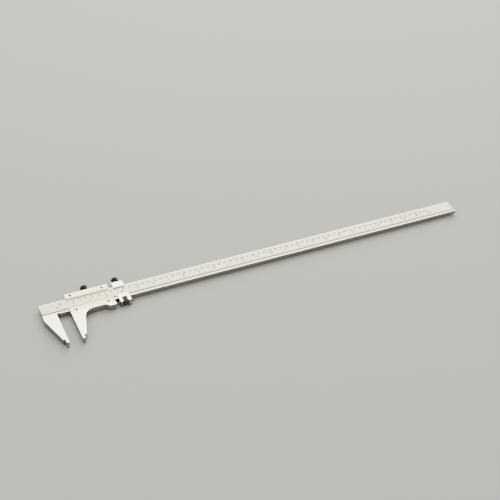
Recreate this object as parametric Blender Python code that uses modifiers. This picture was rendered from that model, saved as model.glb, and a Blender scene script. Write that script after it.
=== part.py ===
"""Large vernier caliper, 0 to 600 mm and 0 to 24 in, with a fine-adjustment carriage.

Every length is in metres. The caliper lies on its back: X runs along the beam from the fixed
jaw's measuring face, Y runs up from the beam's lower edge, away from the jaws, and Z rises from
the beam's front face. One empty moves all of it, so that the world's origin is under the middle
of the whole caliper. The slider and the carriage each hang on an empty of their own, with X = 0 at
their left side.
"""

import math

import bmesh
import bpy
import numpy as np
from mathutils import Matrix, Vector

# Running gaps
GAP = 0.0003
SMALL_GAP = 0.0002

# Beam and fixed jaw
BEAM_LEFT = -0.0202
BEAM_RIGHT = 0.7125
BEAM_WIDTH = 0.0265
BEAM_THICKNESS = 0.007
BEAM_MIDDLE_Z = -BEAM_THICKNESS / 2
GROOVE_LOW, GROOVE_HIGH, GROOVE_DEPTH = 0.0042, 0.0058, 0.0005
JAW_LEFT = -0.021
JAW_SHOULDER = 0.001
JAW_BEND = -0.0095
JAW_REACH = 0.0635
NIB_LENGTH = 0.0075
NIB_WIDTH = 0.00381
FIXED_JAW_NECK = 0.007
RELIEF_DEPTH, RELIEF_LENGTH = 0.0015, 0.0055

# Slider and moving jaw
OPENING = 0.0205
FRONT_Z = 0.0017
JAW_BACK_Z = -BEAM_THICKNESS - FRONT_Z
BACK_Z = -0.010
BACK_INSET = 0.0005
SLIDER_LENGTH = 0.069
SLIDER_TOP = 0.035
SLIDER_LOW = -0.007
STUB_LENGTH = 0.0096
STUB_LOW = -0.0122
STUB_RAMP = 0.0065
STUB_ROUND = 0.0024
MOVING_JAW_NECK = 0.0075
JAW_HEEL_X = 0.0217
JAW_FILLET = 0.017
JAW_FACE_TOP = 0.004
HEAD_INSET = 0.001

# Channel that runs on the beam, with room for a gib above it
GIB_THICKNESS = 0.0012
GIB_HEIGHT = 0.0056
GIB_TOP = BEAM_WIDTH + GAP + GIB_THICKNESS
CHANNEL_TOP = GIB_TOP + GAP
CHANNEL_LOW = -GAP
CHANNEL_BACK_Z = -BEAM_THICKNESS - GAP
CHANNEL_FRONT_Z = GAP

# Vernier plates
PLATE_END_INSET = 0.0006
PLATE_BACK_Z = GAP
UPPER_PLATE_EDGE = 0.023
LOWER_PLATE_EDGE = 0.0058
LOWER_PLATE_LOW = -0.0056
PLATE_SLOPE = 0.0024
PLATE_EDGE_THICKNESS = 0.0003
PLATE_SCREW_X = (0.0095, 0.0595)
UPPER_SCREW_Y = 0.0302
LOWER_SCREW_Y = -0.00205

# Carriage
CARRIAGE_X = 0.0759
CARRIAGE_LENGTH = 0.0174
EAR_LOW = -0.0105
EAR_LEFT_END = 0.0046
EAR_RIGHT_START = 0.0124
EAR_ROUND = 0.0012
SLOT_ROUND = 0.0012

# Fine-adjustment screw and nut
FINE_AXIS_Y = -0.0062
FINE_SCREW_RADIUS = 0.0016
FINE_SCREW_START = 0.0608
FINE_SCREW_END = 0.0975
NUT_RADIUS = 0.00575

# Clamp screws
SLIDER_CLAMP_X = 0.035
CLAMP_STEM_RADIUS = 0.002
CLAMP_COLLAR_RADIUS = 0.0034
CLAMP_COLLAR_TOP = 0.0372
CLAMP_HEAD_TOP = 0.046
CLAMP_HEAD_RADIUS = 0.0055

# Small screws
PLATE_HEAD_RADIUS = 0.0021
PLATE_HEAD_THICKNESS = 0.0006
PLATE_SHANK_RADIUS = 0.0012
PLATE_SHANK_LENGTH = 0.005
GIB_SCREW_X = (0.019, 0.051)
GIB_SCREW_RADIUS = 0.0013
GIB_SCREW_TOP = SLIDER_TOP - 0.0008
LOCK_SCREW_RADIUS = 0.001
LOCK_SCREW_LOW = STUB_LOW + 0.0005
STOP_X, STOP_Y = 0.703, 0.0132
STOP_HEAD_RADIUS = 0.0025
STOP_HEAD_THICKNESS = 0.001
STOP_SHANK_RADIUS = 0.0013
STOP_SHANK_LENGTH = 0.0045
SLOT_WIDTH = 0.0005
SLOT_DEPTH = 0.0003

# Edges and facets
EDGE_BREAK = 0.0003
PLATE_EDGE_BREAK = 0.00015
ARC_STEP = math.radians(7.5)
FACETS_SMALL = 20
FACETS_LARGE = 40
PAST = 0.002
MERGE = 0.000001

# The caliper's own box at rest, which the origin is centred under
LOW_CORNER = Vector((JAW_LEFT, -JAW_REACH, BACK_Z))
HIGH_CORNER = Vector((BEAM_RIGHT, CLAMP_HEAD_TOP, FRONT_Z))
TO_Y = (-math.pi / 2, 0, 0)
FROM_BELOW = (-math.pi / 2, math.pi, 0)
TO_X = (0, math.pi / 2, 0)
TO_BACK = (math.pi, 0, 0)

for thing in list(bpy.data.objects):
    bpy.data.objects.remove(thing)


def new_collection(name):
    """A collection in the scene."""
    made = bpy.data.collections.new(name)
    bpy.context.scene.collection.children.link(made)
    return made


PARTS = new_collection("vernier_caliper")
CUTTERS = new_collection("cutters")
CUTTERS.hide_render = True


def new_material(name, colour, metallic, roughness):
    """A Principled material of one finish."""
    made = bpy.data.materials.new(name)
    made.use_nodes = True
    made.diffuse_color = (*colour, 1)
    shader = made.node_tree.nodes["Principled BSDF"]
    shader.inputs["Base Color"].default_value = (*colour, 1)
    shader.inputs["Metallic"].default_value = metallic
    shader.inputs["Roughness"].default_value = roughness
    return made


SATIN_STEEL = new_material("satin_chromed_steel", (0.78, 0.79, 0.76), 1.0, 0.35)
PLATE_STEEL = new_material("vernier_plate_steel", (0.74, 0.73, 0.67), 1.0, 0.42)
BLACK_OXIDE = new_material("black_oxide_steel", (0.02, 0.02, 0.022), 0.6, 0.4)
SCREW_STEEL = new_material("screw_steel", (0.3, 0.29, 0.27), 1.0, 0.4)
GIB_BRONZE = new_material("gib_bronze", (0.62, 0.42, 0.2), 1.0, 0.38)


def new_frame(name, place, parent=None):
    """An empty that a moving part of the caliper hangs on."""
    frame = bpy.data.objects.new(name, None)
    PARTS.objects.link(frame)
    frame.location = place
    frame.parent = parent
    return frame


MIDDLE = (LOW_CORNER + HIGH_CORNER) / 2
BEAM_FRAME = new_frame("beam_frame", (-MIDDLE.x, -MIDDLE.y, -LOW_CORNER.z))
SLIDER_FRAME = new_frame("slider_frame", (OPENING, 0, 0), BEAM_FRAME)
CARRIAGE_FRAME = new_frame("carriage_frame", (CARRIAGE_X, 0, 0), SLIDER_FRAME)


def place(thing, frame, material, location=(0, 0, 0), rotation=(0, 0, 0)):
    """Puts a finished piece in the caliper, on its frame."""
    PARTS.objects.link(thing)
    thing.parent = frame
    thing.location = location
    thing.rotation_euler = rotation
    thing.data.materials.append(material)
    return thing


def as_tool(thing, frame):
    """Keeps an object out of the model, as a shape that a Boolean reads."""
    CUTTERS.objects.link(thing)
    thing.parent = frame
    thing.hide_render = True
    thing.display_type = "WIRE"
    return thing


def combine(thing, tool, operation="DIFFERENCE"):
    """Cuts the tool from the thing, or joins it on."""
    modifier = thing.modifiers.new(tool.name, "BOOLEAN")
    modifier.operation = operation
    modifier.object = tool


def break_edges(thing, width, segments=2):
    """Rounds every edge between flat faces a little."""
    modifier = thing.modifiers.new("broken_edges", "BEVEL")
    modifier.width = width
    modifier.segments = segments
    modifier.limit_method = "ANGLE"
    modifier.angle_limit = math.radians(35)


def block(name, low, high):
    """A box between two corners."""
    shape = bmesh.new()
    bmesh.ops.create_cube(shape, size=1)
    size = Vector(high) - Vector(low)
    centre = (Vector(high) + Vector(low)) / 2
    bmesh.ops.scale(shape, vec=size, verts=shape.verts)
    bmesh.ops.translate(shape, vec=centre, verts=shape.verts)
    mesh = bpy.data.meshes.new(name)
    shape.to_mesh(mesh)
    shape.free()
    return bpy.data.objects.new(name, mesh)


def rod(name, start, end, radius, facets=FACETS_SMALL):
    """A plain cylinder from one point to another."""
    start, end = Vector(start), Vector(end)
    turn = (end - start).to_track_quat("Z", "Y").to_matrix().to_4x4()
    shape = bmesh.new()
    bmesh.ops.create_cone(
        shape,
        cap_ends=True,
        segments=facets,
        radius1=radius,
        radius2=radius,
        depth=(end - start).length,
        matrix=Matrix.Translation((start + end) / 2) @ turn,
    )
    mesh = bpy.data.meshes.new(name)
    shape.to_mesh(mesh)
    shape.free()
    return bpy.data.objects.new(name, mesh)


def rounded(corners):
    """The points of a closed outline whose corners, (x, y, radius), are turned into arcs."""
    points = []
    for index, (x, y, radius) in enumerate(corners):
        corner = Vector((x, y))
        if radius == 0:
            points.append(corner)
            continue
        back = (Vector(corners[index - 1][:2]) - corner).normalized()
        on = (Vector(corners[(index + 1) % len(corners)][:2]) - corner).normalized()
        half = back.angle(on) / 2
        centre = corner + (back + on).normalized() * radius / math.sin(half)
        first = corner + back * radius / math.tan(half) - centre
        last = corner + on * radius / math.tan(half) - centre
        start = math.atan2(first.y, first.x)
        turn = math.remainder(math.atan2(last.y, last.x) - start, math.tau)
        count = max(2, math.ceil(abs(turn) / ARC_STEP))
        for angle in np.linspace(start, start + turn, count + 1):
            points.append(centre + radius * Vector((math.cos(angle), math.sin(angle))))
    return points


def slab(name, corners, low, high):
    """A flat outline with thickness, made as a curve and kept as a mesh."""
    points = rounded(corners)
    curve = bpy.data.curves.new(name, "CURVE")
    curve.dimensions = "2D"
    curve.fill_mode = "BOTH"
    curve.extrude = (high - low) / 2
    spline = curve.splines.new("POLY")
    spline.points.add(len(points) - 1)
    for knot, point in zip(spline.points, points):
        knot.co = (point.x, point.y, 0, 1)
    spline.use_cyclic_u = True
    guide = bpy.data.objects.new(name + "_outline", curve)
    CUTTERS.objects.link(guide)
    bpy.context.view_layer.update()
    mesh = bpy.data.meshes.new_from_object(guide.evaluated_get(bpy.context.evaluated_depsgraph_get()))
    bpy.data.objects.remove(guide)
    shape = bmesh.new()
    shape.from_mesh(mesh)
    bmesh.ops.remove_doubles(shape, verts=shape.verts, dist=MERGE)
    bmesh.ops.dissolve_limit(shape, angle_limit=math.radians(1), verts=shape.verts, edges=shape.edges)
    bmesh.ops.translate(shape, vec=(0, 0, (low + high) / 2), verts=shape.verts)
    bmesh.ops.recalc_face_normals(shape, faces=shape.faces)
    shape.to_mesh(mesh)
    shape.free()
    mesh.name = name
    mesh.materials.clear()
    return bpy.data.objects.new(name, mesh)


def turned(name, profile, facets=FACETS_SMALL):
    """A solid turned about Z from (radius, height) points that run down its outer side."""
    mesh = bpy.data.meshes.new(name)
    mesh.from_pydata(
        [(radius, 0, height) for radius, height in profile],
        [(index, index + 1) for index in range(len(profile) - 1)],
        [],
    )
    thing = bpy.data.objects.new(name, mesh)
    screw = thing.modifiers.new("turn", "SCREW")
    screw.steps = facets
    screw.render_steps = facets
    screw.use_merge_vertices = True
    screw.merge_threshold = MERGE
    screw.use_smooth_shade = False
    return thing


def slotted(name, head_radius, head_thickness, shank_radius, shank_length, frame, *where):
    """A slotted screw whose head's top is at its origin, facing its own +Z."""
    bottom = -head_thickness - shank_length
    screw = turned(
        name,
        [
            (0, 0),
            (head_radius - EDGE_BREAK / 2, 0),
            (head_radius, -EDGE_BREAK / 2),
            (head_radius, -head_thickness),
            (shank_radius, -head_thickness),
            (shank_radius, bottom + EDGE_BREAK),
            (shank_radius - EDGE_BREAK, bottom),
            (0, bottom),
        ],
    )
    place(screw, frame, SCREW_STEEL, *where)
    add_slot(screw, head_radius, SLOT_DEPTH)
    return screw


def set_screw(name, radius, length, frame, *where):
    """A headless slotted screw whose top is at its origin."""
    screw = turned(
        name,
        [
            (0, 0),
            (radius - EDGE_BREAK / 2, 0),
            (radius, -EDGE_BREAK / 2),
            (radius, -length + EDGE_BREAK),
            (radius - EDGE_BREAK, -length),
            (0, -length),
        ],
    )
    place(screw, frame, SCREW_STEEL, *where)
    add_slot(screw, radius, 2 * SLOT_DEPTH)
    return screw


def add_slot(screw, radius, depth):
    """Cuts a screwdriver slot across a screw's top."""
    slot = block(
        screw.name + "_slot",
        (-radius - PAST, -SLOT_WIDTH / 2, -depth),
        (radius + PAST, SLOT_WIDTH / 2, PAST),
    )
    as_tool(slot, screw)
    combine(screw, slot)


def cut_channel(thing, length):
    """Opens a body for the beam and its gib, and opens the window over the scale."""
    channel = block(
        thing.name + "_channel",
        (-PAST, CHANNEL_LOW, CHANNEL_BACK_Z),
        (length + PAST, CHANNEL_TOP, CHANNEL_FRONT_Z),
    )
    window = block(
        thing.name + "_window",
        (-PAST, LOWER_PLATE_EDGE, BEAM_MIDDLE_Z),
        (length + PAST, UPPER_PLATE_EDGE, FRONT_Z + PAST),
    )
    for tool in (channel, window):
        combine(thing, as_tool(tool, thing.parent))


def drill(thing, name, start, end, radius):
    """A round hole."""
    combine(thing, as_tool(rod(name, start, end, radius), thing.parent))


def make_beam():
    """The graduated beam and the fixed jaw, one forging, with a stop screw near the far end."""
    beam = block(
        "main_beam",
        (BEAM_LEFT, 0, -BEAM_THICKNESS),
        (BEAM_RIGHT, BEAM_WIDTH, 0),
    )
    break_edges(beam, EDGE_BREAK)
    place(beam, BEAM_FRAME, SATIN_STEEL)
    jaw = slab(
        "fixed_jaw",
        [
            (JAW_LEFT, JAW_SHOULDER, 0),
            (JAW_LEFT, JAW_BEND, 0.01),
            (-FIXED_JAW_NECK, -JAW_REACH + NIB_LENGTH, 0.0005),
            (-NIB_WIDTH, -JAW_REACH + NIB_LENGTH, 0.0006),
            (-NIB_WIDTH, -JAW_REACH, 0.0008),
            (0, -JAW_REACH, 0),
            (0, JAW_SHOULDER, 0),
        ],
        JAW_BACK_Z,
        FRONT_Z,
    )
    break_edges(jaw, EDGE_BREAK)
    groove = block(
        "groove",
        (BEAM_LEFT - PAST, GROOVE_LOW, -GROOVE_DEPTH),
        (BEAM_RIGHT + PAST, GROOVE_HIGH, PAST),
    )
    relief = slab(
        "corner_relief",
        [
            (-EDGE_BREAK, -EDGE_BREAK, 0),
            (RELIEF_LENGTH, -EDGE_BREAK, 0),
            (RELIEF_LENGTH, RELIEF_DEPTH, 0.001),
            (-EDGE_BREAK, RELIEF_DEPTH, 0.001),
        ],
        JAW_BACK_Z - PAST,
        FRONT_Z + PAST,
    )
    combine(beam, as_tool(jaw, BEAM_FRAME), "UNION")
    combine(beam, as_tool(groove, BEAM_FRAME))
    combine(beam, as_tool(relief, BEAM_FRAME))
    drill(
        beam,
        "stop_hole",
        (STOP_X, STOP_Y, -BEAM_THICKNESS - PAST),
        (STOP_X, STOP_Y, -BEAM_THICKNESS + STOP_SHANK_LENGTH + SMALL_GAP),
        STOP_SHANK_RADIUS + SMALL_GAP,
    )
    slotted(
        "beam_stop_screw",
        STOP_HEAD_RADIUS,
        STOP_HEAD_THICKNESS,
        STOP_SHANK_RADIUS,
        STOP_SHANK_LENGTH,
        BEAM_FRAME,
        (STOP_X, STOP_Y, -BEAM_THICKNESS - SMALL_GAP - STOP_HEAD_THICKNESS),
        TO_BACK,
    )


def make_slider_body():
    """The slider's frame and the moving jaw in one piece, open at the front for the plates."""
    stub_left = SLIDER_LENGTH - STUB_LENGTH
    body = slab(
        "slider_body",
        [
            (HEAD_INSET, SLIDER_TOP, 0.0006),
            (SLIDER_LENGTH, SLIDER_TOP, 0.0006),
            (SLIDER_LENGTH, STUB_LOW, 0.0008),
            (stub_left, STUB_LOW, STUB_ROUND),
            (stub_left - STUB_RAMP, SLIDER_LOW, STUB_ROUND),
            (JAW_HEEL_X, SLIDER_LOW, JAW_FILLET),
            (MOVING_JAW_NECK, -JAW_REACH + NIB_LENGTH, 0.0005),
            (NIB_WIDTH, -JAW_REACH + NIB_LENGTH, 0.0006),
            (NIB_WIDTH, -JAW_REACH, 0.0008),
            (0, -JAW_REACH, 0),
            (0, JAW_FACE_TOP, 0),
            (HEAD_INSET, JAW_FACE_TOP, 0),
        ],
        JAW_BACK_Z,
        FRONT_Z,
    )
    break_edges(body, EDGE_BREAK)
    place(body, SLIDER_FRAME, SATIN_STEEL)
    back = block(
        "slider_back",
        (HEAD_INSET + BACK_INSET, SLIDER_LOW + BACK_INSET, BACK_Z),
        (SLIDER_LENGTH - BACK_INSET, SLIDER_TOP - BACK_INSET, JAW_BACK_Z + BACK_INSET),
    )
    break_edges(back, EDGE_BREAK)
    combine(body, as_tool(back, SLIDER_FRAME), "UNION")
    cut_channel(body, SLIDER_LENGTH)
    for name, low, high in (
        ("upper_seat", UPPER_PLATE_EDGE - PAST, SLIDER_TOP + PAST),
        ("lower_seat", LOWER_PLATE_LOW - GAP, LOWER_PLATE_EDGE + PAST),
    ):
        seat = block(name, (-PAST, low, 0), (SLIDER_LENGTH + PAST, high, FRONT_Z + PAST))
        combine(body, as_tool(seat, SLIDER_FRAME))
    for index, x in enumerate(PLATE_SCREW_X):
        for row, y in (("upper", UPPER_SCREW_Y), ("lower", LOWER_SCREW_Y)):
            start = (x, y, -PLATE_SHANK_LENGTH)
            drill(body, f"{row}_tapping_{index}", start, (x, y, PAST), PLATE_SHANK_RADIUS + SMALL_GAP)
    for index, x in enumerate(GIB_SCREW_X):
        start, end = (x, CHANNEL_TOP - PAST, BEAM_MIDDLE_Z), (x, SLIDER_TOP + PAST, BEAM_MIDDLE_Z)
        drill(body, f"gib_tapping_{index}", start, end, GIB_SCREW_RADIUS + SMALL_GAP)
    drill(
        body,
        "clamp_tapping",
        (SLIDER_CLAMP_X, CHANNEL_TOP - PAST, BEAM_MIDDLE_Z),
        (SLIDER_CLAMP_X, SLIDER_TOP + PAST, BEAM_MIDDLE_Z),
        CLAMP_STEM_RADIUS + SMALL_GAP,
    )
    drill(
        body,
        "fine_screw_seat",
        (FINE_SCREW_START - GAP, FINE_AXIS_Y, BEAM_MIDDLE_Z),
        (SLIDER_LENGTH + PAST, FINE_AXIS_Y, BEAM_MIDDLE_Z),
        FINE_SCREW_RADIUS + SMALL_GAP,
    )
    lock_x = SLIDER_LENGTH - STUB_LENGTH / 2
    drill(
        body,
        "lock_tapping",
        (lock_x, STUB_LOW - PAST, BEAM_MIDDLE_Z),
        (lock_x, FINE_AXIS_Y, BEAM_MIDDLE_Z),
        LOCK_SCREW_RADIUS + SMALL_GAP,
    )


def make_vernier_plate(name, left, edge, far, screw_y):
    """A vernier plate whose front slopes down to a thin edge over the scale."""
    inward = 1 if far > edge else -1
    plate = block(
        name,
        (left, min(edge, far), PLATE_BACK_Z),
        (SLIDER_LENGTH - PLATE_END_INSET, max(edge, far), FRONT_Z),
    )
    break_edges(plate, PLATE_EDGE_BREAK)
    place(plate, SLIDER_FRAME, PLATE_STEEL)
    drop = FRONT_Z - PLATE_BACK_Z - PLATE_EDGE_THICKNESS
    reach = PAST / drop * PLATE_SLOPE
    slope = wedge(
        name + "_slope",
        (edge - inward * reach, PLATE_BACK_Z + PLATE_EDGE_THICKNESS - PAST),
        (edge + inward * (PLATE_SLOPE + reach), FRONT_Z + PAST),
    )
    combine(plate, as_tool(slope, SLIDER_FRAME))
    seat_z = FRONT_Z - PLATE_HEAD_THICKNESS - SMALL_GAP
    for index, x in enumerate(PLATE_SCREW_X):
        side = ("left", "right")[index]
        bore = f"{name}_{side}"
        low, top = (x, screw_y, -PAST), (x, screw_y, FRONT_Z + PAST)
        drill(plate, bore + "_hole", low, top, PLATE_SHANK_RADIUS + SMALL_GAP)
        drill(plate, bore + "_recess", (x, screw_y, seat_z), top, PLATE_HEAD_RADIUS + SMALL_GAP)
        slotted(
            f"{name}_screw_{side}",
            PLATE_HEAD_RADIUS,
            PLATE_HEAD_THICKNESS,
            PLATE_SHANK_RADIUS,
            PLATE_SHANK_LENGTH,
            SLIDER_FRAME,
            (x, screw_y, FRONT_Z),
            (0, 0, math.radians(25 + 50 * index)),
        )


def wedge(name, low_end, high_end):
    """A cutter with one sloping face, from one (y, z) to the other, and all that lies above it."""
    (start_y, start_z), (end_y, end_z) = low_end, high_end
    shape = bmesh.new()
    corners = [(start_y, start_z), (end_y, end_z), (start_y, end_z)]
    face = shape.faces.new([shape.verts.new((-PAST, y, z)) for y, z in corners])
    grown = bmesh.ops.extrude_face_region(shape, geom=[face])
    moved = [item for item in grown["geom"] if isinstance(item, bmesh.types.BMVert)]
    bmesh.ops.translate(shape, vec=(SLIDER_LENGTH + 2 * PAST, 0, 0), verts=moved)
    bmesh.ops.recalc_face_normals(shape, faces=shape.faces)
    mesh = bpy.data.meshes.new(name)
    shape.to_mesh(mesh)
    shape.free()
    return bpy.data.objects.new(name, mesh)


def make_gib(name, length, margin, frame):
    """A thin strip between a body and the beam's upper edge, which a clamp screw presses down."""
    gib = block(
        name,
        (margin, BEAM_WIDTH + GAP, BEAM_MIDDLE_Z - GIB_HEIGHT / 2),
        (length - margin, GIB_TOP, BEAM_MIDDLE_Z + GIB_HEIGHT / 2),
    )
    break_edges(gib, PLATE_EDGE_BREAK, 1)
    place(gib, frame, GIB_BRONZE)


def make_clamp_screw(name, x, frame):
    """A thumb screw with a knurled head, a collar and a stem that ends just over the gib."""
    tip = CHANNEL_TOP - SLIDER_TOP
    collar, top = CLAMP_COLLAR_TOP - SLIDER_TOP, CLAMP_HEAD_TOP - SLIDER_TOP
    chamfer = 2 * EDGE_BREAK
    screw = turned(
        name,
        [
            (0, top),
            (CLAMP_HEAD_RADIUS - chamfer, top),
            (CLAMP_HEAD_RADIUS, top - chamfer),
            (CLAMP_HEAD_RADIUS, collar + chamfer),
            (CLAMP_HEAD_RADIUS - chamfer, collar),
            (CLAMP_COLLAR_RADIUS, collar),
            (CLAMP_COLLAR_RADIUS, GAP),
            (CLAMP_STEM_RADIUS, GAP),
            (CLAMP_STEM_RADIUS, tip + chamfer),
            (CLAMP_STEM_RADIUS - chamfer, tip),
            (0, tip),
        ],
        FACETS_LARGE,
    )
    place(screw, frame, BLACK_OXIDE, (x, SLIDER_TOP, BEAM_MIDDLE_Z), TO_Y)


def make_slider_fittings():
    """Everything that is screwed to the slider, and the screw that the fine adjustment turns on."""
    make_vernier_plate(
        "upper_vernier_plate",
        HEAD_INSET + PLATE_END_INSET / 2,
        UPPER_PLATE_EDGE,
        SLIDER_TOP,
        UPPER_SCREW_Y,
    )
    make_vernier_plate(
        "lower_vernier_plate",
        PLATE_END_INSET,
        LOWER_PLATE_EDGE,
        LOWER_PLATE_LOW,
        LOWER_SCREW_Y,
    )
    make_gib("slider_gib", SLIDER_LENGTH, 4 * EDGE_BREAK, SLIDER_FRAME)
    for index, x in enumerate(GIB_SCREW_X):
        set_screw(
            f"slider_gib_screw_{('left', 'right')[index]}",
            GIB_SCREW_RADIUS,
            GIB_SCREW_TOP - CHANNEL_TOP,
            SLIDER_FRAME,
            (x, GIB_SCREW_TOP, BEAM_MIDDLE_Z),
            TO_Y,
        )
    make_clamp_screw("slider_clamp_screw", SLIDER_CLAMP_X, SLIDER_FRAME)
    length = FINE_SCREW_END - FINE_SCREW_START
    fine = turned(
        "fine_adjust_screw",
        [
            (0, length),
            (FINE_SCREW_RADIUS - EDGE_BREAK, length),
            (FINE_SCREW_RADIUS, length - EDGE_BREAK),
            (FINE_SCREW_RADIUS, EDGE_BREAK),
            (FINE_SCREW_RADIUS - EDGE_BREAK, 0),
            (0, 0),
        ],
    )
    place(fine, SLIDER_FRAME, SCREW_STEEL, (FINE_SCREW_START, FINE_AXIS_Y, BEAM_MIDDLE_Z), TO_X)
    set_screw(
        "fine_screw_lock",
        LOCK_SCREW_RADIUS,
        FINE_AXIS_Y - FINE_SCREW_RADIUS - SMALL_GAP - LOCK_SCREW_LOW,
        SLIDER_FRAME,
        (SLIDER_LENGTH - STUB_LENGTH / 2, LOCK_SCREW_LOW, BEAM_MIDDLE_Z),
        FROM_BELOW,
    )


def make_carriage():
    """The fine-adjustment carriage, with two ears that hold the nut, and its clamp."""
    body = slab(
        "carriage_body",
        [
            (0, SLIDER_TOP, 0.0006),
            (CARRIAGE_LENGTH, SLIDER_TOP, 0.0006),
            (CARRIAGE_LENGTH, EAR_LOW, EAR_ROUND),
            (EAR_RIGHT_START, EAR_LOW, EAR_ROUND),
            (EAR_RIGHT_START, CHANNEL_LOW, SLOT_ROUND),
            (EAR_LEFT_END, CHANNEL_LOW, SLOT_ROUND),
            (EAR_LEFT_END, EAR_LOW, EAR_ROUND),
            (0, EAR_LOW, EAR_ROUND),
        ],
        BACK_Z,
        FRONT_Z,
    )
    break_edges(body, EDGE_BREAK)
    place(body, CARRIAGE_FRAME, SATIN_STEEL)
    cut_channel(body, CARRIAGE_LENGTH)
    drill(
        body,
        "ear_bore",
        (-PAST, FINE_AXIS_Y, BEAM_MIDDLE_Z),
        (CARRIAGE_LENGTH + PAST, FINE_AXIS_Y, BEAM_MIDDLE_Z),
        FINE_SCREW_RADIUS + GAP,
    )
    drill(
        body,
        "carriage_clamp_tapping",
        (CARRIAGE_LENGTH / 2, CHANNEL_TOP - PAST, BEAM_MIDDLE_Z),
        (CARRIAGE_LENGTH / 2, SLIDER_TOP + PAST, BEAM_MIDDLE_Z),
        CLAMP_STEM_RADIUS + SMALL_GAP,
    )
    make_gib("carriage_gib", CARRIAGE_LENGTH, 2 * EDGE_BREAK, CARRIAGE_FRAME)
    make_clamp_screw("carriage_clamp_screw", CARRIAGE_LENGTH / 2, CARRIAGE_FRAME)


def make_nut():
    """The knurled nut between the carriage's ears."""
    width = EAR_RIGHT_START - EAR_LEFT_END - 2 * GAP
    bore = FINE_SCREW_RADIUS + SMALL_GAP
    chamfer = 2 * EDGE_BREAK
    nut = turned(
        "fine_adjust_nut",
        [
            (bore, width),
            (NUT_RADIUS - chamfer, width),
            (NUT_RADIUS, width - chamfer),
            (NUT_RADIUS, chamfer),
            (NUT_RADIUS - chamfer, 0),
            (bore, 0),
            (bore, width),
        ],
        FACETS_LARGE,
    )
    start = (EAR_LEFT_END + GAP, FINE_AXIS_Y, BEAM_MIDDLE_Z)
    place(nut, CARRIAGE_FRAME, BLACK_OXIDE, start, TO_X)


make_beam()
make_slider_body()
make_slider_fittings()
make_carriage()
make_nut()
for thing in PARTS.objects:
    if thing.type == "MESH":
        thing.data.shade_smooth()
        thing.data.set_sharp_from_angle(angle=math.radians(30))
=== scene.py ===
"""Looks of a long vernier caliper with nib jaws and a fine-adjustment carriage.

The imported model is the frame, and every piece here takes its place from a node's box. Lengths are
in metres. Sizes of the tool are measured from a datum corner: X from a measuring face or a part's
left side, Y up from the beam's lower edge, Z out of the scale's face.
"""

from __future__ import annotations

import logging
import math
from collections.abc import Sequence
from dataclasses import dataclass, field
from enum import Enum

import bmesh
import bpy
import numpy as np
from mathutils import Matrix, Vector

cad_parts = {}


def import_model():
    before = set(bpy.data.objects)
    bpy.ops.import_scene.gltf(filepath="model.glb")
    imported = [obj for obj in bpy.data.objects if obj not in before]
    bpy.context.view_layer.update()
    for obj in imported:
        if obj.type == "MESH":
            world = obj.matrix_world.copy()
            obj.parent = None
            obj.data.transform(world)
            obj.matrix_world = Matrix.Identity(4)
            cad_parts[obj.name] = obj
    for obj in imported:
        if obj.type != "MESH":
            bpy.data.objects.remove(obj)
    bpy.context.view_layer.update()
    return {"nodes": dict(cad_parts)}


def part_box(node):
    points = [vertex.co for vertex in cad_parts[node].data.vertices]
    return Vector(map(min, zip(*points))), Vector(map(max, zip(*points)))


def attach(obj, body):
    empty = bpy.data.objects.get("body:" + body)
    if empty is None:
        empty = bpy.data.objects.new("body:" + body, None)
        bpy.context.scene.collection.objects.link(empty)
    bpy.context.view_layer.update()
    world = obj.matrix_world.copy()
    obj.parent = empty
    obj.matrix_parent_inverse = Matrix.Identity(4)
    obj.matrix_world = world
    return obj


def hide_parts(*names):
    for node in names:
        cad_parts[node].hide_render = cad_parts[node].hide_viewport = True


LOG = logging.getLogger("caliper")
MM = 0.001
INCH = 25.4 * MM
MERGE = 0.5e-6
CREST = "crest"
# Painted shade on the upright sides of the steel parts, partly also their duller milled finish
MILLED_SIDE_SHADE = "#8B8780"

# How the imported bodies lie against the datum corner
FIXED_JAW_WIDTH = 21 * MM
JAW_REACH = 63.5 * MM
FRONT_STEP = 1.7 * MM
BEAM_THICKNESS = 7 * MM
SLIDER_TOP = 35 * MM


class Body(Enum):
    """The bodies that a piece can move with."""

    BEAM = "beam"
    SLIDER = "slider"
    SLIDER_CLAMP = "slider_clamp"
    CARRIAGE = "carriage"
    CARRIAGE_CLAMP = "carriage_clamp"
    FINE_NUT = "fine_nut"


class Slot(Enum):
    """The record's material slots."""

    SATIN = "satin_steel"
    PLATE = "plate_steel"
    BLACK = "black_steel"
    SCREW = "screw_steel"
    BRONZE = "gib_bronze"


class Facing(Enum):
    """Which way a turned piece points: its rows are its across, along-slot and outward axes."""

    FRONT = ((1, 0, 0), (0, 1, 0), (0, 0, 1))
    BACK = ((1, 0, 0), (0, -1, 0), (0, 0, -1))
    UP = ((0, 0, 1), (1, 0, 0), (0, 1, 0))
    DOWN = ((0, 0, -1), (1, 0, 0), (0, -1, 0))
    ALONG = ((0, 1, 0), (0, 0, 1), (1, 0, 0))


class Knurl(Enum):
    """How a grip is rolled."""

    DIAMOND = "diamond"
    STRAIGHT = "straight"


class Grain(Enum):
    """Which way a surface was ground: noise scales along X, Y and Z, as shares of the finest."""

    ALONG_BEAM = (0.02, 1.0, 1.0)
    BLASTED = (1.0, 1.0, 1.0)


@dataclass(frozen=True)
class Datum:
    """The corner that a part of the tool is measured from."""

    x: float
    y: float
    z: float

    def at(self, x: float, y: float, z: float) -> np.ndarray:
        """A point given from this corner, in the frame."""
        return np.array((self.x + x, self.y + y, self.z + z))

    @staticmethod
    def find() -> tuple[Datum, Datum, Datum]:
        """Works out the corners of the beam, the slider and the carriage from the frame's boxes.

        Returns:
            The beam's, the slider's and the carriage's datum.
        """
        low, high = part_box("main_beam")
        y, z = low[1] + JAW_REACH, high[2] - FRONT_STEP
        return (
            Datum(low[0] + FIXED_JAW_WIDTH, y, z),
            Datum(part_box("slider_body")[0][0], y, z),
            Datum(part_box("carriage_body")[0][0], y, z),
        )


# ------------------------------------------------------------------ surfaces


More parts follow.
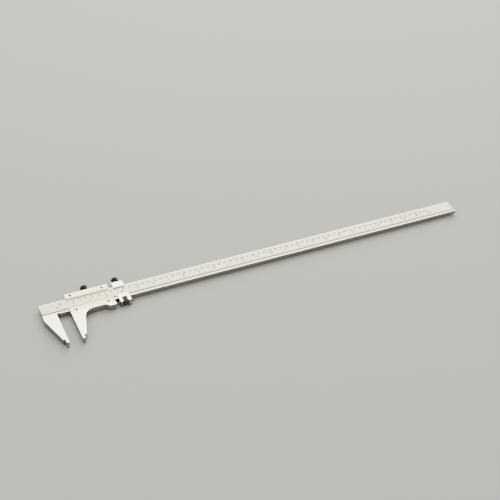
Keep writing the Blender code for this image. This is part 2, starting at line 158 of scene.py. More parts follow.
@dataclass
class Surface:
    """Closed shells gathered as arrays of points, four-sided faces and a crest value per point."""

    points: list[np.ndarray] = field(default_factory=list)
    faces: list[np.ndarray] = field(default_factory=list)
    crests: list[np.ndarray] = field(default_factory=list)
    count: int = 0

    def add(self, points: np.ndarray, faces: np.ndarray, crest: np.ndarray | None = None) -> None:
        """Adds points and the faces between them.

        Args:
            points: One row of x, y, z for each point.
            faces: One row of four point numbers for each face.
            crest: How far each point stands out of its surface, from 0 to 1.
        """
        flat = points.reshape(-1, 3)
        self.points.append(flat)
        self.faces.append(faces + self.count)
        self.crests.append(np.zeros(len(flat)) if crest is None else crest.ravel())
        self.count += len(flat)

    def add_grid(self, points: np.ndarray, crest: np.ndarray | None = None) -> None:
        """Adds a grid of points that is closed along its columns, and whose end rows are poles.

        Face (i, j) joins the points (i, j), (i, j + 1), (i + 1, j + 1) and (i + 1, j), where the
        column after the last is the first.

        Args:
            points: The points, as rows, columns and x, y, z.
            crest: A crest value for each point of the grid.
        """
        rows, columns = points.shape[:2]
        i, j = np.meshgrid(np.arange(rows - 1), np.arange(columns), indexing="ij")
        after = (j + 1) % columns
        corners = (i * columns + j, i * columns + after, (i + 1) * columns + after, (i + 1) * columns + j)
        self.add(points, np.stack([corner.ravel() for corner in corners], axis=1), crest)

    def make(self, name: str, sharp: float = 40) -> bpy.types.Object:
        """Puts the shells into one mesh, closed and facing outwards.

        Args:
            name: The piece's name.
            sharp: The angle in degrees past which an edge stays sharp.

        Returns:
            The piece, at the origin.
        """
        mesh = bpy.data.meshes.new(name)
        mesh.from_pydata(np.concatenate(self.points), [], np.concatenate(self.faces).tolist())
        values = mesh.attributes.new(CREST, "FLOAT", "POINT")
        values.data.foreach_set("value", np.concatenate(self.crests).astype(np.float32))
        return finished(name, mesh, sharp)


def finished(name: str, mesh: bpy.types.Mesh, sharp: float, flat: bool = False) -> bpy.types.Object:
    """Merges a mesh's doubles, turns its faces outwards and shades it.

    Args:
        name: The piece's name.
        mesh: Its mesh.
        sharp: The angle in degrees past which an edge stays sharp.
        flat: Whether triangles in one plane become one face.

    Returns:
        The piece, linked to the scene.
    """
    shape = bmesh.new()
    shape.from_mesh(mesh)
    bmesh.ops.remove_doubles(shape, verts=shape.verts, dist=MERGE)
    bmesh.ops.dissolve_degenerate(shape, edges=shape.edges, dist=MERGE)
    if flat:
        bmesh.ops.dissolve_limit(
            shape, angle_limit=math.radians(0.1), verts=shape.verts, edges=shape.edges
        )
    bmesh.ops.recalc_face_normals(shape, faces=shape.faces)
    shape.to_mesh(mesh)
    shape.free()
    mesh.shade_smooth()
    mesh.set_sharp_from_angle(angle=math.radians(sharp))
    piece = bpy.data.objects.new(name, mesh)
    bpy.context.scene.collection.objects.link(piece)
    return piece


def refined_copy(node: str, name: str, edge: float, sharp: float = 28) -> bpy.types.Object:
    """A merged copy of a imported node, with smooth arcs and lightly broken edges.

    Args:
        node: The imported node.
        name: The copy's name.
        edge: How wide the edges that are still sharp are broken.
        sharp: The angle in degrees past which an edge stays sharp.

    Returns:
        The copy, at the origin.
    """
    source = bpy.data.objects[node].data
    points = np.empty(3 * len(source.vertices))
    source.vertices.foreach_get("co", points)
    corners = np.empty(len(source.loops), dtype=np.int32)
    source.loops.foreach_get("vertex_index", corners)
    mesh = bpy.data.meshes.new(name)
    mesh.from_pydata(points.reshape(-1, 3), [], corners.reshape(-1, 3).tolist())
    piece = finished(name, mesh, sharp, flat=True)
    broken = piece.modifiers.new("broken_edges", "BEVEL")
    broken.width = edge
    broken.segments = 2
    broken.limit_method = "ANGLE"
    broken.angle_limit = math.radians(50)
    even = piece.modifiers.new("even_shading", "WEIGHTED_NORMAL")
    even.keep_sharp = True
    return piece


def turned_points(radius: np.ndarray, height: np.ndarray, facing: Facing, centre: np.ndarray) -> np.ndarray:
    """Points of a surface turned about an axis.

    A point is the centre, plus the radius times the cosine of its angle across, plus the radius
    times the sine along, plus the height outwards.

    Args:
        radius: The radius for each row and column of the grid.
        height: The height along the axis, for each row and column.
        facing: Which way the axis points.
        centre: The point on the axis at height 0.

    Returns:
        The grid of points.
    """
    columns = radius.shape[1]
    angle = np.linspace(0, math.tau, columns, endpoint=False)[None, :]
    local = np.stack([radius * np.cos(angle), radius * np.sin(angle), height], axis=-1)
    return local @ np.array(facing.value, dtype=float) + centre


def wave(phase: np.ndarray) -> np.ndarray:
    """A triangle wave of period 1: 1 at whole phases and 0 halfway between them."""
    return np.abs(2 * np.mod(phase, 1) - 1)


def profile_rows(knots: Sequence[tuple[float, float]], step: float) -> np.ndarray:
    """Points along a turned outline, no farther apart than a step.

    Args:
        knots: The outline's corners, as radius and height.
        step: The longest distance between two rows.

    Returns:
        One row of radius and height for each ring.
    """
    rows = []
    for start, end in zip(knots[:-1], knots[1:]):
        start, end = np.array(start), np.array(end)
        count = max(1, math.ceil(np.linalg.norm(end - start) / step))
        rows.append(start + (end - start) * np.linspace(0, 1, count, endpoint=False)[:, None])
    rows.append(np.array(knots[-1:]))
    return np.concatenate(rows)


@dataclass(frozen=True)
class Grip:
    """A rolled grip on a turned piece."""

    knurl: Knurl
    teeth: int
    depth: float
    low: float
    high: float

    @property
    def samples(self) -> int:
        """Points round the grip: eight to a tooth."""
        return 8 * self.teeth

    def crest(self, angle: np.ndarray, height: np.ndarray, radius: float) -> np.ndarray:
        """How far the grip stands out, from 0 in a groove to 1 on a crest.

        With u the teeth passed round the grip and v the same distance along it, a straight knurl
        is a wave of u. A diamond knurl is the lower of two waves, of u + v and u - v, so that two
        families of grooves cross and leave pyramids.

        Args:
            angle: The angle of each point.
            height: Its height.
            radius: The grip's radius.

        Returns:
            The crest value of each point, and 1 outside the grip.
        """
        around = self.teeth * angle / math.tau
        along = self.teeth * (height - self.low) / (math.tau * radius)
        if self.knurl is Knurl.STRAIGHT:
            shape = np.clip(1.6 * wave(around), 0, 1)
        else:
            shape = np.minimum(wave((around + along) / 1), wave((around - along) / 1))
            shape = np.clip(1.5 * shape, 0, 1)
        inside = (height > self.low) & (height < self.high)
        return np.where(inside, shape, 1)


def add_turned(
    surface: Surface,
    knots: Sequence[tuple[float, float]],
    facing: Facing,
    centre: np.ndarray,
    grip: Grip | None = None,
    facets: int = 48,
    step: float = 4 * MM,
) -> None:
    """Adds a solid turned from an outline, with a rolled grip if it has one.

    Args:
        surface: Where the shell goes.
        knots: The outline's corners, as radius and height, from pole to pole.
        facing: Which way the axis points.
        centre: The point on the axis at height 0.
        grip: The rolled band.
        facets: Columns round the axis where there is no grip.
        step: The longest distance between two rings.
    """
    rings = profile_rows(knots, step)
    columns = grip.samples if grip else facets
    radius = np.repeat(rings[:, :1], columns, axis=1)
    height = np.repeat(rings[:, 1:], columns, axis=1)
    crest = None
    if grip:
        widest = rings[:, 0].max()
        angle = np.linspace(0, math.tau, columns, endpoint=False)[None, :]
        shape = grip.crest(angle, height, widest)
        rolled = (height > grip.low) & (height < grip.high) & (radius > 0.8 * widest)
        radius = np.where(rolled, radius - grip.depth * (1 - shape), radius)
        crest = np.where(rolled, shape, 0.15)
    surface.add_grid(turned_points(radius, height, facing, centre), crest)


@dataclass(frozen=True)
class Thread:
    """A screw thread."""

    radius: float
    pitch: float
    depth: float
    facets: int = 24
    per_pitch: int = 6

    def add(
        self, surface: Surface, start: float, end: float, facing: Facing, centre: np.ndarray
    ) -> None:
        """Adds a threaded rod.

        The radius at an angle and a height is the outer radius less the depth times a clipped
        wave of height over pitch less the angle's share of a turn. It tapers at both ends.

        Args:
            surface: Where the shell goes.
            start: The rod's lower end along the axis.
            end: Its upper end.
            facing: Which way the axis points.
            centre: The point on the axis at height 0.
        """
        count = max(4, round((end - start) / self.pitch * self.per_pitch))
        rows = np.linspace(start, end, count + 1)
        rows = np.concatenate([rows[:1], rows, rows[-1:]])
        angle = np.linspace(0, math.tau, self.facets, endpoint=False)[None, :]
        height = np.repeat(rows[:, None], self.facets, axis=1)
        cut = np.clip(1.6 * wave(height / self.pitch - angle / math.tau) - 0.3, 0, 1)
        taper = np.clip(np.minimum(height - start, end - height) / self.pitch, 0, 1)
        radius = self.radius - self.depth * np.maximum(cut, 1 - taper)
        radius[[0, -1]] = 0
        crest = np.repeat(0.2, radius.size)
        surface.add_grid(turned_points(radius, height, facing, centre), crest)


# ------------------------------------------------------------------ engraving


@dataclass(frozen=True)
class Face:
    """The height of a face over its Y, through given knots."""

    y: tuple[float, ...]
    z: tuple[float, ...]

    def height(self, y: np.ndarray) -> np.ndarray:
        """The face's height, straight between its knots."""
        order = np.argsort(self.y)
        return np.interp(y, np.array(self.y)[order], np.array(self.z)[order])


FLAT = Face((0.0, 1.0), (0.0, 0.0))
FILL_LIFT = 0.02 * MM
FILL_SINK = 0.06 * MM
LEVEL_STEP = 0.006 * MM


def arc(x: float, y: float, wide: float, tall: float, start: float, end: float, count: int) -> np.ndarray:
    """Points on an ellipse about (x, y), from one angle in degrees to another."""
    angle = np.radians(np.linspace(start, end, count))
    return np.stack([x + wide * np.cos(angle), y + tall * np.sin(angle)], axis=1)


def line(*points: tuple[float, float]) -> np.ndarray:
    """Points of a straight-sided stroke."""
    return np.array(points, dtype=float)


SIX = (arc(0.53, 0.36, 0.5, 0.62, 98, 178, 6), arc(0.3, 0.3, 0.27, 0.3, 180, -180, 15))
DIGITS: dict[str, tuple[np.ndarray, ...]] = {
    "0": (arc(0.3, 0.5, 0.27, 0.5, 90, 450, 17),),
    "1": (line((0.12, 0.78), (0.33, 1), (0.33, 0)),),
    "2": (np.concatenate([arc(0.3, 0.72, 0.26, 0.28, 165, -38, 9), line((0.04, 0), (0.57, 0))]),),
    "3": (arc(0.28, 0.75, 0.25, 0.25, 150, -100, 10), arc(0.28, 0.26, 0.29, 0.26, 100, -150, 11)),
    "4": (line((0.46, 0), (0.46, 1.02)), line((0.46, 1), (-0.03, 0.25), (0.61, 0.25))),
    "5": (
        np.concatenate(
            [line((0.53, 1), (0.12, 1), (0.08, 0.56)), arc(0.28, 0.32, 0.29, 0.32, 118, -150, 10)]
        ),
    ),
    "6": SIX,
    "7": (line((0.03, 1), (0.57, 1), (0.2, 0)),),
    "8": (arc(0.3, 0.76, 0.22, 0.24, -90, 270, 13), arc(0.3, 0.26, 0.27, 0.26, 90, -270, 15)),
    "9": tuple(np.array((0.6, 1.0)) - stroke for stroke in SIX),
}
DIGIT_STEP = 0.82


def ribbon(path: np.ndarray, width: float, closed: bool) -> tuple[np.ndarray, np.ndarray]:
    """The two edges of a stroke of even width.

    Each edge runs beside the path, off it along the mean of the normals of the two stretches that
    meet there, and farther by one over the cosine of half their angle so that the width stays.

    Args:
        path: The stroke's middle line.
        width: The stroke's width.
        closed: Whether its ends meet.

    Returns:
        The left edge and the right edge.
    """
    steps = np.diff(path, axis=0)
    normal = np.stack([-steps[:, 1], steps[:, 0]], axis=1)
    normal /= np.linalg.norm(normal, axis=1)[:, None]
    before = np.concatenate([normal[-1:] if closed else normal[:1], normal])
    after = np.concatenate([normal, normal[:1] if closed else normal[-1:]])
    mean = before + after
    mean /= np.linalg.norm(mean, axis=1)[:, None]
    reach = np.minimum(1 / np.sum(mean * after, axis=1), 2)
    off = mean * (reach * width / 2)[:, None]
    return path + off, path - off


def add_stroke(
    surface: Surface, path: np.ndarray, width: float, lift: float, face: Face, datum: Datum
) -> None:
    """Adds one filled stroke, a flat bar carried along its path.

    The section is a rectangle, from just over the face down to a little under it. Poles at
    the middle of both end sections close it.

    Args:
        surface: Where the shell goes.
        path: The stroke's middle line, from the datum.
        width: Its width.
        lift: How far its top stands over the face.
        face: The face that it is cut into.
        datum: The corner that the path is measured from.
    """
    closed = bool(np.allclose(path[0], path[-1]))
    left, right = ribbon(path, width, closed)
    ring = np.stack([left, right, right, left], axis=1)
    z = face.height(ring[..., 1]) + np.array((lift, lift, -FILL_SINK, -FILL_SINK))
    points = np.concatenate([ring, z[..., None]], axis=2)
    if not closed:
        middle = points.mean(axis=1, keepdims=True).repeat(4, axis=1)
        points = np.concatenate([middle[:1], points, middle[-1:]])
    surface.add_grid(points + datum.at(0, 0, 0))


def add_number(
    surface: Surface, text: str, middle: tuple[float, float], height: float, width: float, face: Face, datum: Datum
) -> None:
    """Adds a number, centred on a point.

    Args:
        surface: Where the shells go.
        text: The digits.
        middle: The number's centre, from the datum.
        height: How tall a digit is.
        width: How wide a stroke is.
        face: The face that it is cut into.
        datum: The corner that the centre is measured from.
    """
    span = (len(text) - 1) * DIGIT_STEP + 0.6
    for place, digit in enumerate(text):
        corner = np.array((place * DIGIT_STEP - span / 2, -0.5))
        for level, stroke in enumerate(DIGITS[digit]):
            path = (stroke + corner) * height + middle
            add_stroke(surface, path, width, FILL_LIFT + level * LEVEL_STEP, face, datum)


def add_lines(
    surface: Surface, x: np.ndarray, start: np.ndarray, end: np.ndarray, width: float, face: Face, datum: Datum
) -> None:
    """Adds ruled lines, each a bar on its own column.

    A bar's corners are its column less or plus half the width, its start or end across the beam,
    and the face's height there plus the lift or less the sink.

    Args:
        surface: Where the shells go.
        x: Each line's place along the beam.
        start: Each line's first Y.
        end: Each line's last Y.
        width: How wide a line is.
        face: The face that they are cut into.
        datum: The corner that they are measured from.
    """
    along = np.array((-1, 1, 1, -1, -1, 1, 1, -1)) * width / 2
    across = np.array((0, 0, 1, 1, 0, 0, 1, 1))
    depth = np.array((-FILL_SINK,) * 4 + (FILL_LIFT,) * 4)
    y = start[:, None] + (end - start)[:, None] * across
    points = np.stack([x[:, None] + along, y, face.height(y) + depth], axis=2)
    sides = np.array(((0, 3, 2, 1), (4, 5, 6, 7), (0, 1, 5, 4), (1, 2, 6, 5), (2, 3, 7, 6), (3, 0, 4, 7)))
    faces = (sides[None] + 8 * np.arange(len(x))[:, None, None]).reshape(-1, 4)
    surface.add(points + datum.at(0, 0, 0), faces)


@dataclass(frozen=True)
class Ruling:
    """One row of graduations with its numbers."""

    name: str
    zero: float
    step: float
    count: int
    middle_every: int
    long_every: int
    edge: float
    lengths: tuple[float, float, float]
    line_width: float
    number_every: int
    number_step: int
    number_y: float
    number_height: float
    stroke_width: float
    face: Face = FLAT

    def build(self, datum: Datum, body: Body, material: bpy.types.Material) -> None:
        """Builds the row's lines and its numbers, as two pieces.

        Args:
            datum: The corner that the row is measured from.
            body: The body that it moves with.
            material: The filler.
        """
        index = np.arange(self.count + 1)
        x = self.zero + index * self.step
        short, middle, long = self.lengths
        length = np.where(index % self.middle_every == 0, middle, short)
        length = np.where(index % self.long_every == 0, long, length)
        start = np.full(len(x), self.edge)
        rules = Surface()
        add_lines(rules, x, start, start + length, self.line_width, self.face, datum)
        fit(rules.make(f"{self.name}_lines"), body, Slot.BLACK, material)
        numbers = Surface()
        for mark in range(0, self.count + 1, self.number_every):
            text = str(mark // self.number_every * self.number_step)
            where = (self.zero + mark * self.step, self.number_y)
            add_number(numbers, text, where, self.number_height, self.stroke_width, self.face, datum)
        fit(numbers.make(f"{self.name}_numbers"), body, Slot.BLACK, material)


# ------------------------------------------------------------------ finishes


def linear(code: str) -> tuple[float, float, float, float]:
    """Turns an sRGB colour, written #RRGGBB, into linear red, green, blue and alpha."""
    parts = np.array([int(code[place : place + 2], 16) for place in (1, 3, 5)]) / 255
    parts = np.where(parts <= 0.04045, parts / 12.92, ((parts + 0.055) / 1.055) ** 2.4)
    return (*parts.tolist(), 1.0)


def add_node(
    tree: bpy.types.NodeTree, kind: str, links: dict[str | int, object] | None = None, **settings: object
) -> bpy.types.Node:
    """Adds one shader node.

    Args:
        tree: The material's nodes.
        kind: The node's type.
        links: For each input, by name or number, a value or the output that feeds it.
        settings: The node's own settings.

    Returns:
        The node.
    """
    node = tree.nodes.new(kind)
    for key, value in settings.items():
        setattr(node, key, value)
    for key, value in (links or {}).items():
        if isinstance(value, bpy.types.NodeSocket):
            tree.links.new(value, node.inputs[key])
        else:
            node.inputs[key].default_value = value
    return node


def new_material(name: str) -> tuple[bpy.types.Material, bpy.types.NodeTree]:
    """Starts a material.

    Args:
        name: Its name.

    Returns:
        The material and its empty nodes.
    """
    material = bpy.data.materials.new(name)
    material.use_nodes = True
    material.node_tree.nodes.clear()
    return material, material.node_tree


def close_material(tree: bpy.types.NodeTree, shader: bpy.types.Node) -> None:
    """Joins a shader to the material's output."""
    add_node(tree, "ShaderNodeOutputMaterial", {"Surface": shader.outputs[0]})


def grain_nodes(tree: bpy.types.NodeTree, grain: Grain, width: float, strength: float) -> tuple:
    """Adds a ground or blasted grain as fine noise, stretched along the way it was ground.

    Args:
        tree: The material's nodes.
        grain: Which way it was ground.
        width: The distance between two scratches.
        strength: How strong the relief is.

    Returns:
        The noise's output, stretched to its full range, and the bump's output.
    """
    place = add_node(tree, "ShaderNodeTexCoord")
    scale = tuple(share / width for share in grain.value)
    turned = add_node(tree, "ShaderNodeMapping", {"Vector": place.outputs["Object"], "Scale": scale})
    noise = add_node(
        tree,
        "ShaderNodeTexNoise",
        {"Vector": turned.outputs[0], "Scale": 1.0, "Detail": 4.0, "Roughness": 0.6},
    )
    clear = add_node(
        tree, "ShaderNodeMapRange", {"Value": noise.outputs[0], "From Min": 0.32, "From Max": 0.68}
    )
    bump = add_node(
        tree,
        "ShaderNodeBump",
        {"Height": noise.outputs[0], "Strength": strength, "Distance": 0.05 * width},
    )
    return clear.outputs[0], bump.outputs[0]


def side_shade_nodes(tree: bpy.types.NodeTree, tone: bpy.types.NodeSocket) -> bpy.types.NodeSocket:
    """Darkens the upright sides of a flat part with painted shade; they are also milled and a little duller than its
    ground faces.

    Args:
        tree: The material's nodes.
        tone: The colour of the ground faces.

    Returns:
        The colour of every face.
    """
    place = add_node(tree, "ShaderNodeTexCoord")
    split = add_node(tree, "ShaderNodeSeparateXYZ", {"Vector": place.outputs["Normal"]})
    upright = add_node(tree, "ShaderNodeMath", {0: split.outputs["Z"]}, operation="ABSOLUTE")
    side = add_node(
        tree,
        "ShaderNodeMapRange",
        {"Value": upright.outputs[0], "From Min": 0.35, "From Max": 0.75, "To Min": 1.0, "To Max": 0.0},
    )
    # The sides take the darker colour as painted shade
    mixed = add_node(
        tree, "ShaderNodeMix", {0: side.outputs[0], 6: tone, 7: linear(MILLED_SIDE_SHADE)}, data_type="RGBA"
    )
    return mixed.outputs[2]


@dataclass(frozen=True)
class GroundSteel:
    """Hardened tool steel, surface ground and fine lapped: near white, with a soft straight grain."""

    name: str = "ground_tool_steel"
    light: str = "#FFFBEC"
    dark: str = "#CBC6B6"
    roughness: float = 0.27
    grain: Grain = Grain.ALONG_BEAM
    # Real grinding lines lie 0.05 mm apart, too fine to show, so they are drawn at 0.3 mm
    width: float = 0.3 * MM
    handled: float = 14 * MM

    def build(self) -> bpy.types.Material:
        """Makes the material: grain in its colour, roughness and relief, and broad handling marks."""
        material, tree = new_material(self.name)
        noise, relief = grain_nodes(tree, self.grain, self.width, 0.5)
        place = add_node(tree, "ShaderNodeTexCoord")
        smears = add_node(
            tree,
            "ShaderNodeTexNoise",
            {"Vector": place.outputs["Object"], "Scale": 1 / self.handled, "Detail": 3.0},
        )
        tone = add_node(
            tree,
            "ShaderNodeMix",
            {0: noise, 6: linear(self.dark), 7: linear(self.light)},
            data_type="RGBA",
        )
        rough = add_node(
            tree,
            "ShaderNodeMapRange",
            {"Value": smears.outputs[0], "From Min": 0.3, "From Max": 0.7, "To Min": self.roughness - 0.04, "To Max": self.roughness + 0.05},
        )
        # Painted shade darkens the upright sides
        side_shaded = side_shade_nodes(tree, tone.outputs[2])
        shader = add_node(
            tree,
            "ShaderNodeBsdfPrincipled",
            {"Base Color": side_shaded, "Metallic": 1.0, "Roughness": rough.outputs[0], "Normal": relief},
        )
        close_material(tree, shader)
        return material


@dataclass(frozen=True)
class ChromedBeam:
    """A steel beam with ground rails and a satin-chromed scale: the scale scatters light evenly,
    grey with a breath of green, between brighter edges and a groove painted dark as shade, with painted shade beside
    it."""

    datum: Datum
    name: str = "satin_chromed_beam"
    jaw_light: str = "#FFFBEC"
    jaw_dark: str = "#CBC6B6"
    rail_light: str = "#DAD6C8"
    rail_dark: str = "#ADA99B"
    scale_light: str = "#D3D3BC"
    scale_dark: str = "#B0B19A"
    # Dark colour painted into the groove and beside it as shade
    shade_colour: str = "#2E2B27"
    width: float = 0.3 * MM
    rail_band: tuple[float, float] = (-1 * MM, 28 * MM)
    scale_band: tuple[float, float] = (6 * MM, 24 * MM)
    groove_band: tuple[float, float] = (4.2 * MM, 5.8 * MM)
    # Painted shade beside the groove: a dark band, stronger towards the lower rail, that fades away from its middle
    shade_middle: float = 4.4 * MM
    shade_reach: float = 2.8 * MM
    shade_strength: float = 0.8

    def build(self) -> bpy.types.Material:
        """Makes the material: bands across the beam choose between jaw, rail, scale and groove."""
        material, tree = new_material(self.name)
        ground, relief = grain_nodes(tree, Grain.ALONG_BEAM, self.width, 0.25)
        place = add_node(tree, "ShaderNodeTexCoord")
        split = add_node(tree, "ShaderNodeSeparateXYZ", {"Vector": place.outputs["Object"]})
        masks = []
        for (low, high), depth, reach in (
            (self.rail_band, 0.0, 0.2 * MM),
            (self.scale_band, 0.0, 0.2 * MM),
            (self.groove_band, -0.5 * MM, 0.45 * MM),
        ):
            across = add_node(
                tree,
                "ShaderNodeMath",
                {0: split.outputs["Y"], 1: self.datum.y + (low + high) / 2, 2: (high - low) / 2},
                operation="COMPARE",
            )
            level = add_node(
                tree,
                "ShaderNodeMath",
                {0: split.outputs["Z"], 1: self.datum.z + depth, 2: reach},
                operation="COMPARE",
            )
            both = add_node(
                tree, "ShaderNodeMath", {0: across.outputs[0], 1: level.outputs[0]}, operation="MULTIPLY"
            )
            masks.append(both.outputs[0])
        fine = add_node(
            tree,
            "ShaderNodeTexNoise",
            {"Vector": place.outputs["Object"], "Scale": 1 / self.width, "Detail": 3.0},
        )
        tones = [
            add_node(
                tree, "ShaderNodeMix", {0: grain, 6: linear(dark), 7: linear(light)}, data_type="RGBA"
            ).outputs[2]
            for grain, dark, light in (
                (ground, self.jaw_dark, self.jaw_light),
                (ground, self.rail_dark, self.rail_light),
                (fine.outputs[0], self.scale_dark, self.scale_light),
            )
        ]
        banded = tones[0]
        for mask, tone in zip(masks, tones[1:]):
            banded = add_node(tree, "ShaderNodeMix", {0: mask, 6: banded, 7: tone}, data_type="RGBA").outputs[2]
        # Painted shade beside the groove, on the front face only
        shaded_beside_groove = add_node(
            tree,
            "ShaderNodeMix",
            {0: self.shade_beside_groove(tree, split, masks[0]), 6: banded, 7: linear(self.shade_colour)},
            data_type="RGBA",
        )
        # The groove is filled with the dark colour as painted shade
        groove_shaded = add_node(
            tree, "ShaderNodeMix", {0: masks[2], 6: shaded_beside_groove.outputs[2], 7: linear(self.shade_colour)}, data_type="RGBA"
        )
        rough = add_node(
            tree, "ShaderNodeMapRange", {"Value": masks[1], "To Min": 0.3, "To Max": 0.5}
        )
        shader = add_node(
            tree,
            "ShaderNodeBsdfPrincipled",
            {
                # The beam's upright sides get the painted shade too
                "Base Color": side_shade_nodes(tree, groove_shaded.outputs[2]),
                "Metallic": 1.0,
                "Roughness": rough.outputs[0],
                "Normal": relief,
            },
        )
        close_material(tree, shader)
        return material

    def shade_beside_groove(
        self, tree: bpy.types.NodeTree, place: bpy.types.Node, front: bpy.types.NodeSocket
    ) -> bpy.types.NodeSocket:
        """Adds the painted shade beside the groove, which fades with the distance from its middle.

        Args:
            tree: The material's nodes.
            place: The node that splits the point's place.
            front: 1 on the beam's front face and 0 elsewhere.

        Returns:
            How much of the shade colour is mixed in.
        """
        away = add_node(
            tree, "ShaderNodeMath", {0: place.outputs["Y"], 1: self.datum.y + self.shade_middle},
            operation="SUBTRACT",
        )
        apart = add_node(tree, "ShaderNodeMath", {0: away.outputs[0]}, operation="ABSOLUTE")
        fade = add_node(
            tree,
            "ShaderNodeMapRange",
            {"Value": apart.outputs[0], "From Min": 0.0, "From Max": self.shade_reach,
             "To Min": self.shade_strength, "To Max": 0.0},
            interpolation_type="SMOOTHSTEP",
        )
        kept = add_node(
            tree, "ShaderNodeMath", {0: fade.outputs[0], 1: front}, operation="MULTIPLY"
        )
        return kept.outputs[0]


@dataclass(frozen=True)
class BlastedPlate:
    """Plated vernier strip, bead blasted: an even, slightly warm sheen without a direction."""

    name: str = "blasted_nickel_plate"
    light: str = "#F0E7CF"
    dark: str = "#CFC6AE"
    # Real blasting pits are 0.03 mm across, so they are drawn at 0.2 mm
    width: float = 0.2 * MM

    def build(self) -> bpy.types.Material:
        """Makes the material: fine even grain in colour and relief."""
        material, tree = new_material(self.name)
        noise, relief = grain_nodes(tree, Grain.BLASTED, self.width, 0.2)
        tone = add_node(
            tree, "ShaderNodeMix", {0: noise, 6: linear(self.dark), 7: linear(self.light)}, data_type="RGBA"
        )
        shader = add_node(
            tree,
            "ShaderNodeBsdfPrincipled",
            {"Base Color": tone.outputs[2], "Metallic": 1.0, "Roughness": 0.42, "Normal": relief},
        )
        close_material(tree, shader)
        return material


@dataclass(frozen=True)
class WornMetal:
    """A dark or plain metal whose crests and corners are rubbed brighter by fingers."""

    name: str
    base: str
    worn: str
    roughness: float
    metallic: float
    wear: float
    width: float = 0.25 * MM

    def build(self) -> bpy.types.Material:
        """Makes the material: the crest attribute, broken up by noise, mixes in the worn colour."""
        material, tree = new_material(self.name)
        noise, relief = grain_nodes(tree, Grain.BLASTED, self.width, 0.15)
        crest = add_node(tree, "ShaderNodeAttribute", attribute_name=CREST, attribute_type="GEOMETRY")
        high = add_node(
            tree,
            "ShaderNodeMapRange",
            {"Value": crest.outputs["Fac"], "From Min": 0.6, "From Max": 1.0, "To Max": self.wear},
        )
        patchy = add_node(
            tree, "ShaderNodeMath", {0: high.outputs[0], 1: noise}, operation="MULTIPLY"
        )
        tone = add_node(
            tree,
            "ShaderNodeMix",
            {0: patchy.outputs[0], 6: linear(self.base), 7: linear(self.worn)},
            data_type="RGBA",
        )
        shader = add_node(
            tree,
            "ShaderNodeBsdfPrincipled",
            {
                "Base Color": tone.outputs[2],
                "Metallic": self.metallic,
                "Roughness": self.roughness,
                "Normal": relief,
            },
        )
        close_material(tree, shader)
        return material


@dataclass(frozen=True)
class FillerPaint:
    """Black filler wiped into the engraving: dull, and a little uneven."""

    name: str = "engraving_filler"
    dark: str = "#0B0B0B"
    light: str = "#1D1C1A"
    patch: float = 1.5 * MM

    def build(self) -> bpy.types.Material:
        """Makes the material: a dull black, a little lighter in patches."""
        material, tree = new_material(self.name)
        place = add_node(tree, "ShaderNodeTexCoord")
        noise = add_node(
            tree,
            "ShaderNodeTexNoise",
            {"Vector": place.outputs["Object"], "Scale": 1 / self.patch, "Detail": 3.0},
        )
        tone = add_node(
            tree,
            "ShaderNodeMix",
            {0: noise.outputs[0], 6: linear(self.dark), 7: linear(self.light)},
            data_type="RGBA",
        )
        shader = add_node(
            tree,
            "ShaderNodeBsdfPrincipled",
            {"Base Color": tone.outputs[2], "Roughness": 0.8, "Specular IOR Level": 0.15},
        )
        close_material(tree, shader)
        return material


@dataclass(frozen=True)
class PalePaper:
    """Matt background paper."""

    name: str = "pale_paper"
    colour: str = "#9FA0A1"

    def build(self) -> bpy.types.Material:
        """Makes the material: one dull pale tone."""
        material, tree = new_material(self.name)
        shader = add_node(
            tree,
            "ShaderNodeBsdfPrincipled",
            {"Base Color": linear(self.colour), "Roughness": 0.9},
        )
        close_material(tree, shader)
        return material


class Palette:
    """Every finish on the tool, made once."""

    def __init__(self, datum: Datum) -> None:
        """Builds the materials."""
        self.beam = ChromedBeam(datum).build()
        self.ground = GroundSteel().build()
        self.plate = BlastedPlate().build()
        self.filler = FillerPaint().build()
        self.black = WornMetal("black_oxide_steel", "#141415", "#8A8883", 0.38, 0.7, 0.5).build()
        self.screw = WornMetal("blued_screw_steel", "#2B2823", "#5C564B", 0.36, 1.0, 0.8).build()
        self.rod = WornMetal("turned_screw_steel", "#9A978F", "#C8C5BD", 0.32, 1.0, 0.8).build()
        self.bronze = WornMetal("gib_bronze_rolled", "#A9794A", "#C9A070", 0.38, 1.0, 0.3).build()


def fit(
    piece: bpy.types.Object, body: Body, slot: Slot, material: bpy.types.Material, *stands_for: str
) -> None:
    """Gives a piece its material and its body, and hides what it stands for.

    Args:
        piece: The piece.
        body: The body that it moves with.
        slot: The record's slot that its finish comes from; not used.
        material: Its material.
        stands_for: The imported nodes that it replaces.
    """
    piece.data.materials.clear()
    piece.data.materials.append(material)
    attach(piece, body.value)
    if stands_for:
        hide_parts(*stands_for)
    LOG.info("%s rides on %s, %d faces", piece.name, body.value, len(piece.data.polygons))


# ------------------------------------------------------------------ sub-assemblies


